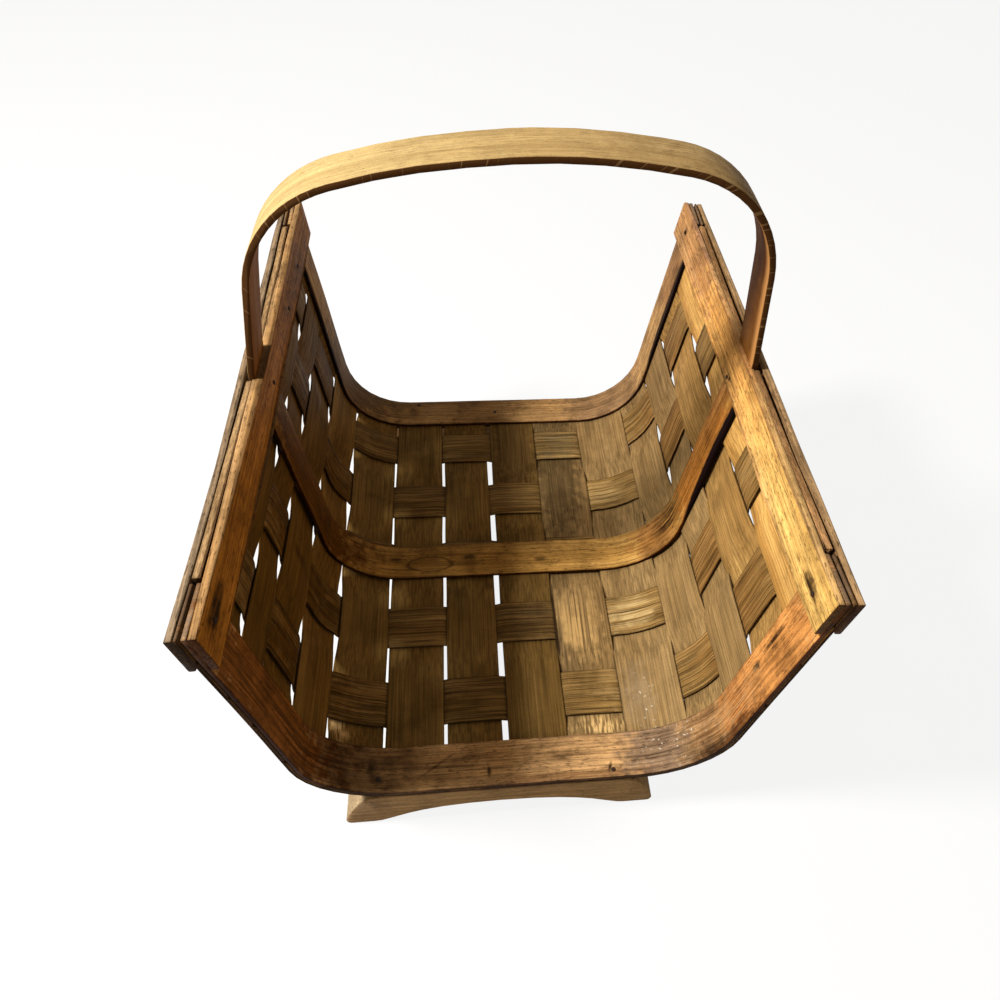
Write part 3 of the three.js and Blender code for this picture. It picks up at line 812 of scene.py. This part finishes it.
# Painted shade on the left end of the front face.
foot_marks = [
    shade((-100, -171.5, 14), (26, 1.2, 28), rgb(0.78, 0.78, 0.86)),
    shade((-93, -171.5, 29), (16, 1.2, 16), rgb(0.70, 0.70, 0.76)),
]
for number, node in enumerate(("front_foot", "rear_foot")):
    name = node.replace("foot", "sawn_foot")
    piece = shaved_copy(node, name, foot_edge, foot_slices)
    wood = oak(
        f"{name}_wood",
        ALONG_FOOT,
        seed=240 + number * 9.7,
        tones=foot_tones,
        lines=0.22,
        line_scale=1100.0,
        threads=0.3,
        pores=0.4,
        pore_run=0.3,
        edges=(1.0 * MM, rgb(0.6, 0.55, 0.5)),
        rough=0.75,
        # Painted light: the sloping shoulder at the left end, which faces the lamp, is made paler
        # and greyer.
        facing=[(left_shoulder, rgb(0.98, 1.15, 1.45))],
        marks=foot_marks,
    )
    piece.data.materials.append(wood)


# Nails: small round-headed iron nails, rusted dark. They are driven through the inner rails into
# the hoop ends, and through the hoop floors into the feet.

nail_radius = 1.5 * MM
nail_rise = 0.5 * MM
pit_depth = 0.1 * MM
nail_places = {
    "left_inner_rail": [(-128, -156, 222), (-128, -1, 220), (-129, 67, 220), (-129, 112, 220)],
    "right_inner_rail": [(131, -156, 218), (128, 3, 214), (133, 149, 222)],
    "front_inner_hoop": [(-86, -163.5, 49), (57, -167, 49)],
    "rear_inner_hoop": [(-66.4, 167.5, 49), (-0.8, 156.1, 49)],
}
iron = bpy.data.materials.new("rusted_nail_iron")
iron.use_nodes = True
tree = iron.node_tree
shader = tree.nodes["Principled BSDF"]
place = add_node(tree, "ShaderNodeTexCoord").outputs["Object"]
rust = noise(tree, place, 900.0, 4.0, 0.6)
rust_stops = ((0.4, rgb(0.028, 0.022, 0.019)), (0.68, rgb(0.075, 0.034, 0.016)))
tree.links.new(tone_ramp(tree, rust, rust_stops), shader.inputs["Base Color"])
tree.links.new(remap(tree, rust, 0.35, 0.7, 0.7, 0.95), shader.inputs["Roughness"])
shader.inputs["Metallic"].default_value = 0.6
shader.inputs["Specular IOR Level"].default_value = 0.1
pitting = add_node(
    tree, "ShaderNodeBump", {"Strength": 0.4, "Distance": pit_depth, "Height": rust}
)
tree.links.new(pitting.outputs[0], shader.inputs["Normal"])
for node, places in nail_places.items():
    wood_shape = bmesh.new()
    wood_shape.from_mesh(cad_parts[node].data)
    surface = BVHTree.FromBMesh(wood_shape)
    wood_shape.free()
    work = bmesh.new()
    for spot in places:
        seat, outwards, *_ = surface.find_nearest(Vector(spot) * MM)
        seat = hand_made(seat)
        upright = outwards.to_track_quat("Z", "Y").to_matrix().to_4x4()
        head = bmesh.ops.create_uvsphere(work, u_segments=12, v_segments=6, radius=nail_radius)
        bmesh.ops.scale(work, vec=(1, 1, nail_rise / nail_radius), verts=head["verts"])
        seated = Matrix.Translation(seat) @ upright
        bmesh.ops.transform(work, matrix=seated, verts=head["verts"])
    for face in work.faces:
        face.smooth = True
    name = node.replace("inner_rail", "rail_nails").replace("inner_hoop", "foot_nails")
    mesh = finished_mesh(work, name)
    mesh.materials.append(iron)
    nails = add_object(name, mesh)
    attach(nails, "root")


# Studio: a plain pale floor, a soft lamp high on the left and a white surround, with the camera
# above the front end of the basket.

WHITE = rgb(1, 1, 1)


def seen_directly(tree):
    """1 for rays from the camera, also off a shine or through glass, 0 for bounced light."""
    rays = add_node(tree, "ShaderNodeLightPath").outputs
    seen = combine(tree, "MAXIMUM", rays["Is Camera Ray"], rays["Is Glossy Ray"])
    return combine(tree, "MAXIMUM", seen, rays["Is Transmission Ray"])


floor_size = 4.0
paper_seen = rgb(0.9, 0.9, 0.9)
paper_bounced = rgb(0.52, 0.47, 0.40)
paper_glow = 0.88
work = bmesh.new()
bmesh.ops.create_grid(work, x_segments=1, y_segments=1, size=floor_size)
floor = add_object("studio_floor", finished_mesh(work, "studio_floor"))
paper = bpy.data.materials.new("studio_paper")
paper.use_nodes = True
tree = paper.node_tree
matt = tree.nodes["Principled BSDF"]
matt.inputs["Roughness"].default_value = 0.9
glow = add_node(tree, "ShaderNodeEmission", {0: WHITE, 1: 1.0})
seen = seen_directly(tree)
pale = tint(tree, "MIX", seen, paper_bounced, paper_seen)
tree.links.new(pale, matt.inputs["Base Color"])
share = combine(tree, "MULTIPLY", seen, paper_glow)
mixed = add_node(tree, "ShaderNodeMixShader", {0: share, 1: matt.outputs[0], 2: glow.outputs[0]})
tree.links.new(mixed.outputs[0], tree.nodes["Material Output"].inputs["Surface"])
floor.data.materials.append(paper)

world = bpy.data.worlds.new("studio_surround")
world.use_nodes = True
bpy.context.scene.world = world
tree = world.node_tree
fill = tree.nodes["Background"]
fill.inputs["Color"].default_value = rgb(1.0, 0.88, 0.70)
fill.inputs["Strength"].default_value = 0.2
backdrop = add_node(tree, "ShaderNodeBackground", {0: WHITE, 1: 1.0})
mixed = add_node(
    tree,
    "ShaderNodeMixShader",
    {0: seen_directly(tree), 1: fill.outputs[0], 2: backdrop.outputs[0]},
)
tree.links.new(mixed.outputs[0], tree.nodes["World Output"].inputs["Surface"])

lamp_data = bpy.data.lights.new("soft_lamp", "AREA")
lamp_data.shape = "DISK"
lamp_data.size = 0.27
lamp_data.energy = 34.0
lamp_data.color = (1.0, 0.97, 0.91)
lamp_aim = Vector((0.93, 0.10, -1.0))
lamp = add_object("soft_lamp", lamp_data)
lamp.location = (-0.93, -0.10, 1.16)
lamp.rotation_euler = lamp_aim.to_track_quat("-Z", "Y").to_euler()

yaw = math.radians(9.45)
pitch = math.radians(50.42)
roll = math.radians(5.02)
level_reach = math.cos(pitch)
forward = Vector((math.sin(yaw) * level_reach, math.cos(yaw) * level_reach, -math.sin(pitch)))
level_side = Vector((math.cos(yaw), -math.sin(yaw), 0))
level_up = level_side.cross(forward)
side = level_side * math.cos(roll) + level_up * math.sin(roll)
up = level_up * math.cos(roll) - level_side * math.sin(roll)
camera_data = bpy.data.cameras.new("camera")
camera_data.sensor_width = 36.0
camera_data.lens = 27.98
camera_data.shift_x = -0.0554
camera_data.shift_y = 0.0159
camera = add_object("camera", camera_data)
camera.matrix_world = Matrix((side, up, -forward)).transposed().to_4x4()
camera.location = Vector((-22.9, -344.5, 514.1)) * MM
bpy.context.scene.camera = camera
bpy.context.scene.view_settings.view_transform = "Standard"
